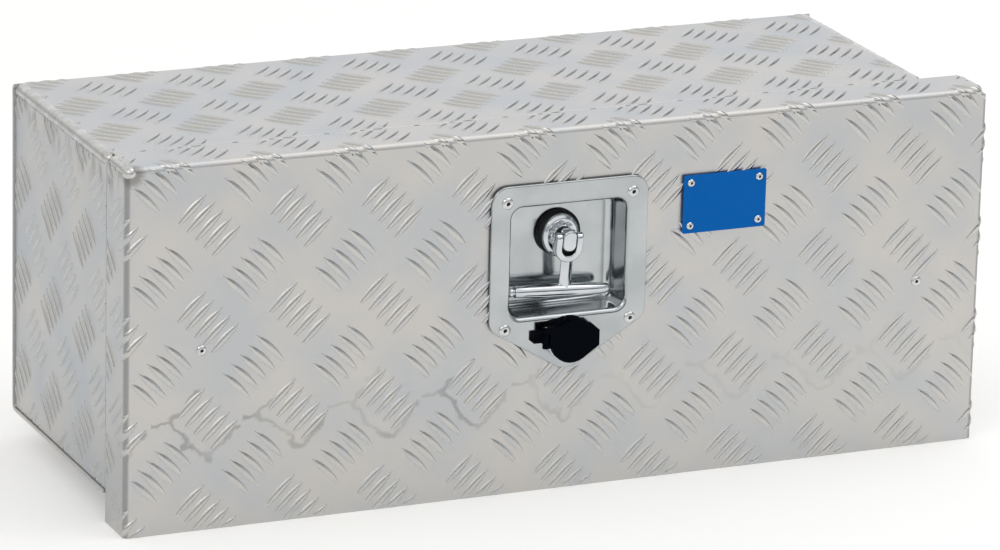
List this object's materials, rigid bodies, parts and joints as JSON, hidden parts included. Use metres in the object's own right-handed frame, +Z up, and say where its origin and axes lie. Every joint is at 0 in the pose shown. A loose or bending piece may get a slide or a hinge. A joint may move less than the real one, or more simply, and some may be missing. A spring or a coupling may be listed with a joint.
{
  "type": "truck tool box",
  "caption": "Checker plate truck box with a fold-down door on a full-length hinge, a recessed folding T-handle latch, a covered key lock and slotted door stays",
  "frame": {"origin": "middle of the bounding box, at the height of the door's bottom edge", "axes": "+X to the right seen from the front, +Y from the door to the back, +Z up"},
  "size_m": [0.64, 0.2398, 0.259],
  "materials": {
    "checker_plate": "mill finish five-bar checker plate",
    "plain_aluminium": "plain mill finish sheet",
    "weld_metal": "rippled weld bead",
    "polished_steel": "polished stainless steel",
    "chrome": "bright chrome plate",
    "black_rubber": "matt black",
    "blue_enamel": "blue enamel on aluminium",
    "rivet_alloy": "bright blind rivet"
  },
  "bodies": {
    "box": {"body_wrap": "checker_plate", "end_plate_left": "checker_plate", "end_plate_right": "checker_plate", "weld_bead_left": "weld_metal", "weld_bead_right": "weld_metal", "front_collar": "plain_aluminium", "frame_seal": "black_rubber", "hinge_rail": "plain_aluminium", "hinge_leaf_body": "plain_aluminium", "hinge_pin": "polished_steel", "latch_keeper": "polished_steel", "stay_stud_left": "polished_steel", "stay_stud_right": "polished_steel"},
    "door": {"door_panel": "checker_plate", "door_corner_weld_left": "weld_metal", "door_corner_weld_right": "weld_metal", "hinge_leaf_door": "plain_aluminium", "latch_dish": "polished_steel", "dish_gasket": "black_rubber", "dish_rivet_upper_left": "rivet_alloy", "dish_rivet_upper_right": "rivet_alloy", "dish_rivet_lower_left": "rivet_alloy", "dish_rivet_lower_right": "rivet_alloy", "name_plate": "blue_enamel", "plate_rivet_upper_left": "rivet_alloy", "plate_rivet_upper_right": "rivet_alloy", "plate_rivet_lower_left": "rivet_alloy", "plate_rivet_lower_right": "rivet_alloy", "hub_ring": "black_rubber", "hub_washer": "chrome", "hub_nut": "chrome", "latch_hub": "chrome", "handle_pin": "polished_steel", "spindle_collar": "polished_steel", "lock_housing": "polished_steel", "lock_bezel": "chrome", "cover_hinge": "black_rubber", "cover_pin": "polished_steel", "stay_bracket_left": "plain_aluminium", "stay_bracket_right": "plain_aluminium", "stay_pin_left": "polished_steel", "stay_pin_right": "polished_steel", "stay_rivet_left": "rivet_alloy", "stay_rivet_right": "rivet_alloy"},
    "handle": {"t_handle": "chrome"},
    "cam": {"cam_spindle": "polished_steel", "latch_cam": "polished_steel", "cam_nut": "polished_steel"},
    "plug": {"lock_plug": "polished_steel", "lock_cam": "polished_steel"},
    "cover": {"key_cover": "black_rubber"},
    "stay_left": {"stay_arm_left": "plain_aluminium"},
    "stay_right": {"stay_arm_right": "plain_aluminium"}
  },
  "joints": [
    {"name": "door_hinge", "type": "hinge", "parent": "box", "child": "door", "pos_m": [0, -0.0998, 0.0102], "axis": [1, 0, 0], "range_deg": [0, 90]},
    {"name": "handle_fold", "type": "hinge", "parent": "door", "child": "handle", "pos_m": [0.0008, -0.1059, 0.179], "axis": [-0.9986, 0, 0.0523], "range_deg": [0, 100]},
    {"name": "cam_turn", "type": "hinge", "parent": "door", "child": "cam", "pos_m": [0.0008, -0.0775, 0.179], "axis": [0, -1, 0], "range_deg": [0, 90]},
    {"name": "lock_plug_turn", "type": "hinge", "parent": "door", "child": "plug", "pos_m": [0.0008, -0.1141, 0.1092], "axis": [0, 1, 0], "range_deg": [0, 90]},
    {"name": "key_cover_swing", "type": "hinge", "parent": "door", "child": "cover", "pos_m": [-0.0183, -0.1176, 0.1092], "axis": [0, 0, -1], "range_deg": [0, 120]},
    {"name": "stay_left_turn", "type": "hinge", "parent": "door", "child": "stay_left", "pos_m": [-0.2776, -0.0911, 0.127], "axis": [1, 0, 0], "range_deg": [-45, 0]},
    {"name": "stay_right_turn", "type": "hinge", "parent": "door", "child": "stay_right", "pos_m": [0.2617, -0.0911, 0.1216], "axis": [1, 0, 0], "range_deg": [-45, 0]}
  ],
  "couplings": [
    {"joint": "stay_left_turn", "follows": "door_hinge", "ratio": -0.5},
    {"joint": "stay_right_turn", "follows": "door_hinge", "ratio": -0.5}
  ]
}
